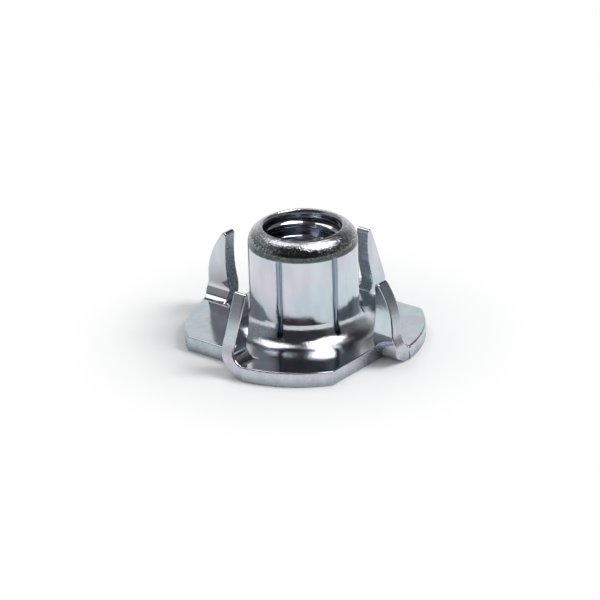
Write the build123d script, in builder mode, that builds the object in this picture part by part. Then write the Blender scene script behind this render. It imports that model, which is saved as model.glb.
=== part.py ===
"""Four-prong tee nut for an M8 bolt, stamped and drawn in one piece from a disc of steel sheet.

Millimetres, +Z up. The origin is on the barrel's axis, in the plane of the flange's underside,
which is the face that the nut rests on. The barrel stands up from the flange's middle, and the
four prongs stand on the X and Y axes. The bore is a plain wall at the thread's root radius.
"""

from build123d import *
import os
from math import acos, asin, atan2, degrees, sqrt

# Sheet and flange
sheet = 1.4
flange_radius = 11.0
edge_round = 0.12

# Barrel, drawn up from the sheet, with a rounded lip
height = 11.0
barrel_radius = 5.0
bore_radius = 4.0
lip_radius = 1.5
flare_radius = 1.9
entry_radius = 2.5

# Upright grooves pressed into the barrel
groove_count = 6
groove_first_angle = -17.0
groove_width = 0.45
groove_depth = 0.10
groove_bottom = 1.7
groove_top = 9.5

# Prongs. A chord cuts a segment off the disc, and a radius halves it. One half is blanked away,
# and the other is bent up about the radius. What is left of the rim between them is a lobe.
chord_distance = 8.6
# Each prong came out of the press a little different, and two bulge where they were bent:
# (height, radius of its outer edge, reach of its heel), anticlockwise from the one on the +X axis
prongs = ((7.7, 11.0, 11.3), (7.6, 10.5, 10.8), (8.2, 11.3, 11.4), (7.6, 10.5, 10.8))
thinning = 0.04
bend_start = 1.45
bend_inside_radius = 1.2
bend_angle = 105.0
bow_radius = 12.0
heel_foot = 0.42
heel_level = 1.8
heel_top = 3.4
tip_round = 0.3
corner_round = 0.25


def body_of_revolution():
    """Bore, lip, barrel, flare and round flange, turned about the Z axis."""
    lip_centre = barrel_radius - lip_radius
    lip_rise = sqrt(lip_radius**2 - (bore_radius - lip_centre) ** 2)
    lip_turn = degrees(acos((bore_radius - lip_centre) / lip_radius))
    with BuildPart() as body:
        with BuildSketch(Plane.XZ):
            with BuildLine():
                Polyline(
                    (bore_radius + entry_radius, 0),
                    (flange_radius, 0),
                    (flange_radius, sheet),
                    (barrel_radius + flare_radius, sheet),
                )
                JernArc((barrel_radius + flare_radius, sheet), (-1, 0), flare_radius, -90)
                Line((barrel_radius, sheet + flare_radius), (barrel_radius, height - lip_rise))
                JernArc((barrel_radius, height - lip_rise), (0, 1), lip_radius, lip_turn)
                Line((bore_radius, height), (bore_radius, entry_radius))
                JernArc((bore_radius, entry_radius), (0, -1), entry_radius, 90)
            make_face()
        revolve(axis=Axis.Z)
    return body.part


def prong(prong_height, edge_arc_radius, heel_reach):
    """A prong on the +X axis, with the bend that joins it to the lobe on its +Y side."""
    thickness = sheet - 2 * thinning
    rim = sqrt(flange_radius**2 - bend_start**2) - thinning
    inner_edge = chord_distance + thinning
    tip_centre = inner_edge + tip_round
    tip_level = prong_height - tip_round
    arc_level = tip_level - sqrt((edge_arc_radius - tip_round) ** 2 - tip_centre**2)
    tip_angle = degrees(atan2(tip_level - arc_level, tip_centre))
    heel_angle = degrees(asin((heel_top - arc_level) / edge_arc_radius))
    bow_angle = bend_angle - 90 + degrees(asin(prong_height / bow_radius))
    with BuildPart() as blank:
        with BuildSketch(Plane.YZ.offset(inner_edge)):
            with BuildLine():
                bend = JernArc(
                    (bend_start, sheet / 2), (-1, 0), bend_inside_radius + sheet / 2, -bend_angle
                )
                JernArc(bend @ 1, bend % 1, bow_radius, bow_angle)
            trace(line_width=thickness)
        extrude(amount=flange_radius)
        with BuildSketch(Plane.XZ):
            with BuildLine():
                CenterArc((tip_centre, tip_level), tip_round, tip_angle, 180 - tip_angle)
                edge = CenterArc((0, arc_level), edge_arc_radius, heel_angle, tip_angle - heel_angle)
                heel = ((rim, heel_foot), (heel_reach, heel_level), edge @ 0)
                Spline(*heel, tangents=((0, 1), edge % 0))
                Polyline(heel[0], (rim, 0), (inner_edge, 0), (inner_edge, tip_level))
            make_face()
        extrude(amount=flange_radius, both=True, mode=Mode.INTERSECT)
        fillet(blank.edges().filter_by(GeomType.LINE, reverse=True), edge_round)
    return blank.part


def groove_cutter():
    """The round bar that presses one groove into the +X side of the barrel."""
    bar_radius = (groove_width**2 / 4 + groove_depth**2) / (2 * groove_depth)
    with BuildPart() as bar:
        with BuildSketch(Plane.XY.offset(groove_bottom)):
            with Locations((barrel_radius - groove_depth + bar_radius, 0)):
                Circle(bar_radius)
        extrude(amount=groove_top - groove_bottom)
    return bar.part


def clear_of_folds(edge):
    """True for an edge whose middle lies away from the X and Y axes, where the prongs fold."""
    middle = edge.position_at(0.5)
    return min(abs(middle.X), abs(middle.Y)) > bend_start + edge_round


bent_prongs = [prong(*sizes) for sizes in prongs]
cutter = groove_cutter()

with BuildPart() as tee_nut:
    add(body_of_revolution())
    with BuildSketch():
        with PolarLocations(0, len(prongs)):
            with Locations((chord_distance, bend_start)):
                Rectangle(flange_radius, 2 * flange_radius, align=(Align.MIN, Align.MAX))
    extrude(amount=sheet, mode=Mode.SUBTRACT)
    fillet(tee_nut.edges().filter_by(Axis.Z).filter_by(clear_of_folds), corner_round)
    fillet(tee_nut.faces().filter_by(Axis.Z).edges().filter_by(clear_of_folds), edge_round)
    for place, bent_prong in zip(PolarLocations(0, len(prongs)), bent_prongs):
        add(bent_prong.moved(place))
    with PolarLocations(0, groove_count, start_angle=groove_first_angle):
        add(cutter, mode=Mode.SUBTRACT)

tee_nut.part.label = "tee_nut"
os.makedirs("parts", exist_ok=True)
export_step(tee_nut.part, "parts/tee_nut.step")
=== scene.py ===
"""Look of a zinc-plated, four-prong M8 tee nut: its material, its thread, and a plain studio.

Metres, in the part's own frame: +Z up, origin on the barrel's axis in the flange's underside.
Lengths named here are in millimetres, and MM turns them into metres.
"""

from math import acos, atan, ceil, cos, pi, radians, sin, sqrt, tan

import bpy
from mathutils import Matrix, Vector


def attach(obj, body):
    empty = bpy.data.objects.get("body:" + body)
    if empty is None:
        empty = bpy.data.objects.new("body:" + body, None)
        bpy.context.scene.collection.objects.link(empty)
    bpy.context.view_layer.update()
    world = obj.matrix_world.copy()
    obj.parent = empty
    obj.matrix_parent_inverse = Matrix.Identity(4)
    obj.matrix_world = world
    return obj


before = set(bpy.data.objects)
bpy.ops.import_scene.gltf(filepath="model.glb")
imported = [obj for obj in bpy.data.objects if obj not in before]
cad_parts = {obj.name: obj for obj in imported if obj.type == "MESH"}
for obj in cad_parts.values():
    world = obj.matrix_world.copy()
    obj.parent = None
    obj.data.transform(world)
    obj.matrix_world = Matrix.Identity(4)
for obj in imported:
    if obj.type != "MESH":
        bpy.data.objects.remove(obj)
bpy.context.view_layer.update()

MM = 0.001

# Sizes that the part's source also has
HEIGHT = 11.0
BARREL_RADIUS = 5.0
BORE_RADIUS = 4.0
LIP_RADIUS = 1.5
ENTRY_RADIUS = 2.5
SHEET = 1.4
GROOVE_COUNT = 6
GROOVE_FIRST_ANGLE = -17

# How far the prongs' inner edges are from the barrel's axis, on X or Y
PRONG_REACH = 8.64

# The lip's rounding: the radius its centre is at, and its centre's level
LIP_CENTRE = BARREL_RADIUS - LIP_RADIUS
LIP_START = HEIGHT - sqrt(LIP_RADIUS**2 - (BORE_RADIUS - LIP_CENTRE) ** 2)

# M8 thread: pitch, the radii of its crests and roots, and the level of one crest on the +X side
PITCH = 1.25
CREST_RADIUS = 3.325
ROOT_RADIUS = BORE_RADIUS - 0.01
CREST_LEVEL = 0.39
FLANK_ANGLE = 30

# The camera: where it stands, in degrees and millimetres, its lens, and how far its aim is from
# the middle of the nut, to the picture's left and downwards
CAMERA_AZIMUTH = -50.8
CAMERA_ELEVATION = 24.3
CAMERA_ROLL = 1.7
CAMERA_DISTANCE = 380.0
CAMERA_LENS = 250.8
AIM_LEFT = 0.36
AIM_DOWN = 1.73

# The finish's relief, in micrometres
WAVE_HEIGHT = 6.0
PEEL_HEIGHT = 1.6
PEBBLE_HEIGHT = 36.0
LINE_HEIGHT = 12.0

# The finish's colours, among them painted shade, painted glints and painted reflections
BLUE = (0.55, 0.63, 0.68, 1)
LAVENDER = (0.62, 0.60, 0.67, 1)
GREEN = (0.53, 0.65, 0.66, 1)
# Pebble colours: painted shade between the pebbles and painted glints on their tops
PEBBLE_PAINTED_SHADE = (0.09, 0.10, 0.10, 1)
PEBBLE_PAINTED_GLINT = (0.80, 0.82, 0.82, 1)
# The lip's foot: partly a duller finish, partly a painted dark reflection of the studio, all round
# the lip
DULL_AND_PAINTED_REFLECTION = (0.07, 0.075, 0.075, 1)
DULLEST_AND_PAINTED_REFLECTION = (0.035, 0.04, 0.04, 1)
# The rim: partly wear, partly painted shade, darker towards its foot where it mirrors the floor's
# shadow
WORN_AND_SHADED_RIM = (0.27, 0.29, 0.33, 1)
CUT_DARK = (0.30, 0.36, 0.42, 1)
CUT_LIGHT = (0.56, 0.64, 0.68, 1)
# Painted shade in the barrel's grooves
GROOVE_PAINTED_SHADE = (0.20, 0.26, 0.32, 1)

# The studio, in metres: the floor's half width, how far it is under the nut, the radius of the
# dark room's dome, and how far the lights are
FLOOR_HALF = 3.0
FLOOR_GAP = 0.00002
ROOM_RADIUS = 0.9
LIGHT_DISTANCE = 0.5


def smoothstep(low, high, x):
    t = min(max((x - low) / (high - low), 0.0), 1.0)
    return t * t * (3 - 2 * t)


# ---------------------------------------------------------------- node helpers


class Nodes:
    """Short calls for building a node tree, in which an input is a number, a tuple or a socket."""

    def __init__(self, tree):
        self.tree = tree
        tree.nodes.clear()

    def add(self, kind, inputs=None, **settings):
        node = self.tree.nodes.new(kind)
        for name, value in settings.items():
            setattr(node, name, value)
        for key, value in (inputs or {}).items():
            self.connect(value, node.inputs[key])
        return node

    def connect(self, value, socket):
        if isinstance(value, bpy.types.NodeSocket):
            self.tree.links.new(value, socket)
        else:
            socket.default_value = value

    def math(self, operation, a, b=0.0, c=0.0):
        return self.add("ShaderNodeMath", {0: a, 1: b, 2: c}, operation=operation).outputs[0]

    def ramp(self, value, low, high):
        """0 at low and 1 at high, smooth between; low may be the larger."""
        if low > high:
            return self.math("SUBTRACT", 1.0, self.ramp(value, high, low))
        node = self.add(
            "ShaderNodeMapRange",
            {"Value": value, "From Min": low, "From Max": high},
            interpolation_type="SMOOTHSTEP",
        )
        return node.outputs["Result"]

    def all_of(self, *masks):
        result = masks[0]
        for mask in masks[1:]:
            result = self.math("MULTIPLY", result, mask)
        return result

    def noise(self, vector, scale, detail=2.0, roughness=0.5):
        node = self.add(
            "ShaderNodeTexNoise",
            {"Vector": vector, "Scale": scale, "Detail": detail, "Roughness": roughness},
        )
        return node.outputs["Fac"]

    def scaled(self, vector, factors):
        node = self.add(
            "ShaderNodeVectorMath", {0: vector, 1: factors}, operation="MULTIPLY"
        )
        return node.outputs["Vector"]

    def mix(self, factor, a, b):
        node = self.add("ShaderNodeMix", {0: factor}, data_type="RGBA")
        self.connect(a, node.inputs[6])
        self.connect(b, node.inputs[7])
        return node.outputs[2]

    def lerp(self, factor, a, b):
        node = self.add("ShaderNodeMix", data_type="FLOAT")
        self.connect(factor, node.inputs[0])
        self.connect(a, node.inputs[2])
        self.connect(b, node.inputs[3])
        return node.outputs[0]


def new_material(name):
    material = bpy.data.materials.new(name)
    material.use_nodes = True
    return material, Nodes(material.node_tree)


# ---------------------------------------------------------------- materials


def zinc_plate():
    """Bright, blue-passivated zinc: smooth on the sheet's faces, pebbled where it was drawn, and
    lined on the cut edges."""
    material, n = new_material("zinc_plate")
    coordinates = n.add("ShaderNodeTexCoord")
    point = n.scaled(coordinates.outputs["Object"], (1 / MM, 1 / MM, 1 / MM))
    split = n.add("ShaderNodeSeparateXYZ", {0: point})
    x, y, z = split.outputs
    radius = n.math("SQRT", n.math("MULTIPLY_ADD", x, x, n.math("MULTIPLY", y, y)))
    reach = n.math("MAXIMUM", n.math("ABSOLUTE", x), n.math("ABSOLUTE", y))
    around = n.math("ARCTAN2", y, x)
    normal = n.add("ShaderNodeSeparateXYZ", {0: coordinates.outputs["Normal"]})
    normal_x, normal_y, normal_z = normal.outputs
    outward = n.math(
        "DIVIDE",
        n.math("MULTIPLY_ADD", normal_x, x, n.math("MULTIPLY", normal_y, y)),
        radius,
    )

    # Where each finish is: the pebbled lip, with a band at its foot that is partly a duller finish
    # and partly a painted dark reflection, and the flare
    upright = n.ramp(n.math("ABSOLUTE", normal_z), 0.5, 0.3)
    above_flange = n.ramp(z, SHEET + 0.1, SHEET + 0.4)
    lip = n.all_of(n.ramp(z, LIP_START - 0.24, LIP_START - 0.10), n.ramp(radius, 3.52, 3.66))
    shoulder = n.all_of(lip, n.ramp(z, HEIGHT - 0.1, HEIGHT - 0.7))
    band = n.all_of(lip, n.ramp(z, LIP_START + 0.75, LIP_START + 0.35))
    fringe = n.all_of(lip, n.ramp(z, LIP_START + 0.45, LIP_START + 0.15))
    flare = n.all_of(n.ramp(z, 3.3, 2.5), n.ramp(radius, 9.8, 6.6))
    drawn = n.math("MULTIPLY_ADD", flare, 0.5, lip)
    pebbled = n.math("MULTIPLY_ADD", band, -0.8, drawn)

    # The cut edges: both narrow edges of a prong, and the flange's rim
    inner_edge = n.all_of(
        n.ramp(reach, PRONG_REACH + 0.10, PRONG_REACH + 0.05),
        n.ramp(reach, PRONG_REACH - 0.12, PRONG_REACH - 0.07),
        above_flange,
    )
    outer_edge = n.all_of(
        n.ramp(outward, 0.55, 0.75),
        n.ramp(reach, PRONG_REACH + 0.2, PRONG_REACH + 0.4),
        above_flange,
    )
    rim = n.all_of(n.ramp(z, SHEET, SHEET - 0.1), upright, n.ramp(radius, 7.9, 8.1))
    cut = n.math("MAXIMUM", n.math("MAXIMUM", inner_edge, outer_edge), rim)
    lined = n.math("MULTIPLY_ADD", cut, 0.2, n.math("MULTIPLY", inner_edge, 0.8))

    # Noises, and the relief they make: long waves, orange peel, pebbles and cutting lines
    waves = n.noise(point, 0.9, 2.0)
    streaks = n.noise(n.scaled(point, (0.9, 0.9, 0.3)), 1.0, 4.0)
    peel = n.noise(point, 4.0, 2.0)
    pebble = n.noise(point, 6.5, 2.0, 0.6)
    prong_lines = n.noise(n.scaled(point, (0.35, 0.35, 7.0)), 1.0, 3.0, 0.6)
    unrolled = n.add(
        "ShaderNodeCombineXYZ",
        {"X": n.math("MULTIPLY", around, 60.0), "Y": n.math("MULTIPLY", z, 0.4)},
    )
    rim_lines = n.noise(unrolled.outputs[0], 1.0, 3.0, 0.6)
    lines = n.lerp(above_flange, rim_lines, prong_lines)
    pebbles = n.all_of(n.math("SUBTRACT", pebble, 0.5), pebbled)
    cut_lines = n.all_of(n.math("SUBTRACT", lines, 0.5), lined)
    height = n.math("MULTIPLY", waves, WAVE_HEIGHT)
    height = n.math("MULTIPLY_ADD", peel, PEEL_HEIGHT, height)
    height = n.math("MULTIPLY_ADD", pebbles, PEBBLE_HEIGHT, height)
    height = n.math("MULTIPLY_ADD", cut_lines, LINE_HEIGHT, height)
    bump = n.add("ShaderNodeBump", {"Height": height, "Strength": 1.0, "Distance": MM * 0.001})

    # Colour: silver with faint blue, lavender and green, and long light and dark streaks
    tint = n.noise(point, 0.28, 2.0)
    green_tint = n.noise(n.scaled(point, (1.0, 1.0, 1.7)), 0.5, 2.0)
    colour = n.mix(n.ramp(tint, 0.35, 0.65), BLUE, LAVENDER)
    colour = n.mix(n.math("MULTIPLY", n.ramp(green_tint, 0.5, 0.75), 0.6), colour, GREEN)
    colour = n.mix(
        n.ramp(streaks, 0.3, 0.7),
        n.scaled(colour, (0.94, 0.94, 0.95)),
        n.scaled(colour, (1.05, 1.05, 1.05)),
    )

    # Colour where it was drawn: painted shade between the pebbles and painted glints on them, and
    # the band partly a duller finish and partly a painted dark reflection
    # Painted sparkle: painted shade between the pebbles and painted glints on them
    painted_sparkle = n.mix(n.ramp(pebble, 0.47, 0.66), PEBBLE_PAINTED_SHADE, PEBBLE_PAINTED_GLINT)
    painted_sparkle_amount = n.math("MULTIPLY_ADD", shoulder, 0.45, n.math("MULTIPLY", drawn, 0.35))
    colour = n.mix(painted_sparkle_amount, colour, painted_sparkle)
    # Painted dark reflection at the lip's foot, over a duller finish there
    colour = n.mix(n.math("MULTIPLY", band, 0.55), colour, DULL_AND_PAINTED_REFLECTION)
    colour = n.mix(n.math("MULTIPLY", fringe, 0.65), colour, DULLEST_AND_PAINTED_REFLECTION)

    # Colour of the cut edges, the rim's wear with painted shade towards its foot, and painted
    # shade in the grooves
    # Rim: partly wear, partly painted shade that darkens it towards its foot
    worn_and_shaded = n.all_of(rim, n.ramp(n.math("MULTIPLY_ADD", streaks, 0.6, z), 1.3, 0.5))
    colour = n.mix(n.math("MULTIPLY", worn_and_shaded, 0.75), colour, WORN_AND_SHADED_RIM)
    edge_tone = n.mix(n.ramp(lines, 0.35, 0.7), CUT_DARK, CUT_LIGHT)
    colour = n.mix(n.math("MULTIPLY", lined, 0.9), colour, edge_tone)
    full_turns = 720
    groove_turn = n.math(
        "DIVIDE",
        n.math("ADD", around, radians(full_turns - GROOVE_FIRST_ANGLE)),
        radians(360 / GROOVE_COUNT),
    )
    past_groove = n.math("FRACT", n.math("ADD", groove_turn, 0.5))
    from_groove = n.math("ABSOLUTE", n.math("SUBTRACT", past_groove, 0.5))
    # Painted shade that darkens the barrel's grooves
    shaded_groove = n.all_of(
        n.ramp(n.math("MULTIPLY_ADD", streaks, 0.03, from_groove), 0.095, 0.050),
        n.ramp(radius, BARREL_RADIUS + 0.1, BARREL_RADIUS + 0.02),
        n.ramp(z, 1.9, 2.6),
        n.ramp(z, 9.7, 9.3),
    )
    colour = n.mix(n.math("MULTIPLY", shaded_groove, 0.8), colour, GROOVE_PAINTED_SHADE)

    roughness = n.math("MULTIPLY_ADD", n.noise(point, 1.6, 3.0), 0.09, 0.07)
    roughness = n.math("MULTIPLY_ADD", cut, 0.16, roughness)

    shader = n.add(
        "ShaderNodeBsdfPrincipled",
        {
            "Base Color": colour,
            "Metallic": 1.0,
            "Roughness": roughness,
            "Normal": bump.outputs["Normal"],
        },
    )
    n.add("ShaderNodeOutputMaterial", {"Surface": shader.outputs[0]})
    return material


# ---------------------------------------------------------------- thread


def thread_radius(angle, z, mouth_radius, top, bottom):
    """Radius of the threaded wall: ISO flanks between rounded roots and flat crests, which fade
    into a plain mouth at the top and into the wall at the bottom."""
    phase = ((z - CREST_LEVEL) / PITCH - angle / (2 * pi)) % 1.0
    from_crest = min(phase, 1 - phase) * PITCH
    crest_half = PITCH / 8
    flank = (ROOT_RADIUS - CREST_RADIUS) * tan(radians(FLANK_ANGLE))
    depth = smoothstep(crest_half * 0.7, crest_half + flank * 1.15, from_crest)
    linear = min(max((from_crest - crest_half) / flank, 0.0), 1.0)
    cut = CREST_RADIUS + (ROOT_RADIUS - CREST_RADIUS) * (0.5 * depth + 0.5 * linear)
    begin = smoothstep(-top, 0.9 * PITCH - top, -z)
    end = smoothstep(bottom, bottom + 0.8 * PITCH, z)
    r = mouth_radius + (cut - mouth_radius) * begin
    return ROOT_RADIUS + (r - ROOT_RADIUS) * end


def thread_piece(material):
    """The threaded liner of the bore, with the mouth that closes the lip over it."""
    steps = 192
    level_step = 0.05
    lip_rows, mouth_rows = 6, 12
    # The liner laps over the lip from this turn of its rounding, by this much
    lap, proud = radians(68), 0.003
    # Where the lip's rounding meets the mouth's, and the size of the mouth's ellipse
    join_radius = 3.75
    mouth_width, mouth_depth = 0.25, 0.6
    turn = acos((join_radius - LIP_CENTRE) / LIP_RADIUS)
    start = atan(mouth_depth / mouth_width * tan(turn))
    mouth_radius = join_radius - mouth_width * (1 + cos(start))
    mouth_level = LIP_START + LIP_RADIUS * sin(turn) - mouth_depth * sin(start)
    thread_top = mouth_level + 0.1
    thread_bottom = ENTRY_RADIUS - 0.05

    # Rows from the lip down: plain rows, threaded levels, and two hidden in the wall behind them
    rows = []
    for i in range(lip_rows + 1):
        a = lap + (turn - lap) * i / lip_rows
        r = LIP_RADIUS + proud * (1 - i / lip_rows)
        rows.append((LIP_CENTRE + r * cos(a), LIP_START + r * sin(a)))
    for i in range(1, mouth_rows + 1):
        a = start + (pi - start) * i / mouth_rows
        r = mouth_radius + mouth_width * (1 + cos(a))
        rows.append((r, mouth_level + mouth_depth * sin(a)))
    levels = ceil((mouth_level - thread_bottom) / level_step)
    threaded = [
        mouth_level + (thread_bottom - mouth_level) * i / levels for i in range(1, levels + 1)
    ]
    hidden = [(BORE_RADIUS + 0.02, thread_bottom), (BORE_RADIUS + 0.03, HEIGHT - 0.1)]

    points = []
    for row in range(len(rows) + len(threaded) + len(hidden)):
        for i in range(steps):
            angle = 2 * pi * i / steps
            if row < len(rows):
                r, z = rows[row]
            elif row < len(rows) + len(threaded):
                z = threaded[row - len(rows)]
                r = thread_radius(angle, z, mouth_radius, thread_top, thread_bottom)
            else:
                r, z = hidden[row - len(rows) - len(threaded)]
            points.append((r * cos(angle) * MM, r * sin(angle) * MM, z * MM))
    count = len(points) // steps
    faces = [
        (
            row * steps + i,
            row * steps + (i + 1) % steps,
            (row + 1) % count * steps + (i + 1) % steps,
            (row + 1) % count * steps + i,
        )
        for row in range(count)
        for i in range(steps)
    ]
    mesh = bpy.data.meshes.new("thread")
    mesh.from_pydata(points, [], [f[::-1] for f in faces])
    mesh.update()
    mesh.shade_smooth()
    mesh.materials.append(material)
    thread = bpy.data.objects.new("thread", mesh)
    bpy.context.scene.collection.objects.link(thread)
    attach(thread, "root")


# ---------------------------------------------------------------- studio


def direction(azimuth, elevation):
    a, e = radians(azimuth), radians(elevation)
    return Vector((cos(e) * cos(a), cos(e) * sin(a), sin(e)))


def place_camera():
    """A long lens, aimed a little below the middle of the nut."""
    towards = direction(CAMERA_AZIMUTH, CAMERA_ELEVATION)
    across = direction(CAMERA_AZIMUTH + 90, 0)
    upward = towards.cross(across)
    roll = radians(CAMERA_ROLL)
    right = across * cos(roll) - upward * sin(roll)
    up = across * sin(roll) + upward * cos(roll)
    aim = Vector((0, 0, HEIGHT / 2 * MM)) - right * AIM_LEFT * MM - up * AIM_DOWN * MM
    data = bpy.data.cameras.new("camera")
    data.sensor_width = 36.0
    data.lens = CAMERA_LENS
    data.clip_start = 0.01
    camera = bpy.data.objects.new("camera", data)
    basis = Matrix((right, up, towards)).transposed().to_4x4()
    camera.matrix_world = Matrix.Translation(aim + towards * CAMERA_DISTANCE * MM) @ basis
    bpy.context.scene.collection.objects.link(camera)
    bpy.context.scene.camera = camera


def background_ray(n):
    """1 for a ray that shows the background itself: seen, reflected or through glass."""
    path = n.add("ShaderNodeLightPath").outputs
    return n.math(
        "MAXIMUM",
        n.math("MAXIMUM", path["Is Camera Ray"], path["Is Glossy Ray"]),
        path["Is Transmission Ray"],
    )


def pale_world():
    """White where it is seen, and a dim fill light."""
    world = bpy.data.worlds.new("studio")
    world.use_nodes = True
    n = Nodes(world.node_tree)
    fill = n.add("ShaderNodeBackground", {"Color": (0.96, 0.98, 1.0, 1), "Strength": 0.46})
    seen = n.add("ShaderNodeBackground", {"Color": (1, 1, 1, 1), "Strength": 1.0})
    mixed = n.add(
        "ShaderNodeMixShader", {0: background_ray(n), 1: fill.outputs[0], 2: seen.outputs[0]}
    )
    n.add("ShaderNodeOutputWorld", {"Surface": mixed.outputs[0]})
    bpy.context.scene.world = world


def staged(name, points, faces, material):
    """A mesh of the studio, which isn't part of the nut."""
    mesh = bpy.data.meshes.new(name)
    mesh.from_pydata(points, [], faces)
    mesh.update()
    mesh.materials.append(material)
    obj = bpy.data.objects.new(name, mesh)
    bpy.context.scene.collection.objects.link(obj)
    return obj


def pale_floor():
    """White paper, which fades to plain white away from the nut and keeps its shadow near it."""
    material, n = new_material("pale_floor")
    paper = n.add(
        "ShaderNodeBsdfPrincipled", {"Base Color": (0.94, 0.94, 0.935, 1), "Roughness": 0.8}
    )
    white = n.add("ShaderNodeEmission", {"Color": (1, 1, 1, 1), "Strength": 1.0})
    place = n.add("ShaderNodeTexCoord").outputs["Object"]
    distance = n.add("ShaderNodeVectorMath", {0: place}, operation="LENGTH").outputs["Value"]
    lift = n.all_of(background_ray(n), n.ramp(distance, 11 * MM, 23 * MM))
    mixed = n.add("ShaderNodeMixShader", {0: lift, 1: paper.outputs[0], 2: white.outputs[0]})
    n.add("ShaderNodeOutputMaterial", {"Surface": mixed.outputs[0]})
    signs = ((-1, -1), (1, -1), (1, 1), (-1, 1))
    corners = [(x * FLOOR_HALF, y * FLOOR_HALF, -FLOOR_GAP) for x, y in signs]
    staged("floor", corners, [(0, 1, 2, 3)], material)


def dark_room():
    """The unlit studio that the metal mirrors: a dome, open to the pale backdrop behind the nut.
    It shows only in reflections."""
    material, n = new_material("dark_room")
    point = n.add("ShaderNodeTexCoord").outputs["Object"]
    unit = n.add("ShaderNodeVectorMath", {0: point}, operation="NORMALIZE").outputs["Vector"]
    level = n.add("ShaderNodeSeparateXYZ", {0: unit}).outputs["Z"]

    def towards(turn, elevation=0.0):
        """The cosine between a point of the dome and that way, where turn is from the camera's
        side to its right."""
        way = direction(CAMERA_AZIMUTH + turn, elevation)
        dot = n.add("ShaderNodeVectorMath", {0: unit, 1: way}, operation="DOT_PRODUCT")
        return dot.outputs["Value"]

    def wall(turn, low_dot, high_dot, strength):
        """A grey wall that way, up to about the height of the lights."""
        below_lights = n.ramp(level, 0.80, 0.66)
        near = n.ramp(towards(turn), low_dot, high_dot)
        return n.math("MULTIPLY", n.all_of(near, below_lights), strength)

    surroundings = (
        wall(-115, 0.35, 0.80, 0.34),
        wall(85, 0.45, 0.85, 0.16),
        wall(140, 0.75, 0.95, 0.36),
        n.math("MULTIPLY", n.ramp(towards(128, 70), 0.955, 0.985), 0.9),
        n.math("MULTIPLY", n.ramp(level, 0.97, 1.0), 0.25),
    )
    grey = 0.05
    for brightness in surroundings:
        grey = n.math("MAXIMUM", grey, brightness)
    backdrop = n.all_of(n.ramp(towards(180), 0.78, 0.93), n.ramp(level, 0.75, 0.6), 0.88)
    clear = n.add("ShaderNodeBsdfTransparent")
    dark = n.add("ShaderNodeEmission", {"Color": (0.97, 0.99, 1.0, 1), "Strength": grey})
    mixed = n.add("ShaderNodeMixShader", {0: backdrop, 1: dark.outputs[0], 2: clear.outputs[0]})
    n.add("ShaderNodeOutputMaterial", {"Surface": mixed.outputs[0]})

    rings, steps = 16, 48
    points = [
        tuple(direction(360 * i / steps, 90 * ring / rings) * ROOM_RADIUS)
        for ring in range(rings)
        for i in range(steps)
    ]
    points.append((0, 0, ROOM_RADIUS))
    faces = [
        (
            ring * steps + i,
            ring * steps + (i + 1) % steps,
            (ring + 1) * steps + (i + 1) % steps,
            (ring + 1) * steps + i,
        )
        for ring in range(rings - 1)
        for i in range(steps)
    ]
    last = (rings - 1) * steps
    faces += [(last + i, last + (i + 1) % steps, len(points) - 1) for i in range(steps)]
    room = staged("dark_room", points, faces, material)
    room.visible_camera = False
    room.visible_diffuse = False
    room.visible_shadow = False


def softbox(name, turn, elevation, size, power, mirrored):
    """A square soft light that way from the nut; turn is from the camera's side to its right.
    Either the metal mirrors it or it lights the floor."""
    data = bpy.data.lights.new(name, "AREA")
    data.shape = "SQUARE"
    data.size = size
    data.energy = power
    light = bpy.data.objects.new(name, data)
    way = direction(CAMERA_AZIMUTH + turn, elevation)
    facing = way.to_track_quat("Z", "Y").to_matrix().to_4x4()
    light.matrix_world = Matrix.Translation(way * LIGHT_DISTANCE) @ facing
    light.visible_glossy = mirrored
    light.visible_diffuse = not mirrored
    bpy.context.scene.collection.objects.link(light)


zinc = zinc_plate()
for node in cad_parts.values():
    node.data.materials.clear()
    node.data.materials.append(zinc)
thread_piece(zinc)

place_camera()
pale_world()
pale_floor()
dark_room()
softbox("left_box", -133, 65, 0.27, 0.5, mirrored=True)
softbox("right_box", 70, 65, 0.27, 1.9, mirrored=True)
softbox("left_key", -133, 60, 0.27, 0.35, mirrored=False)
softbox("right_key", 80, 48, 0.22, 1.5, mirrored=False)
bpy.context.scene.view_settings.view_transform = "Standard"
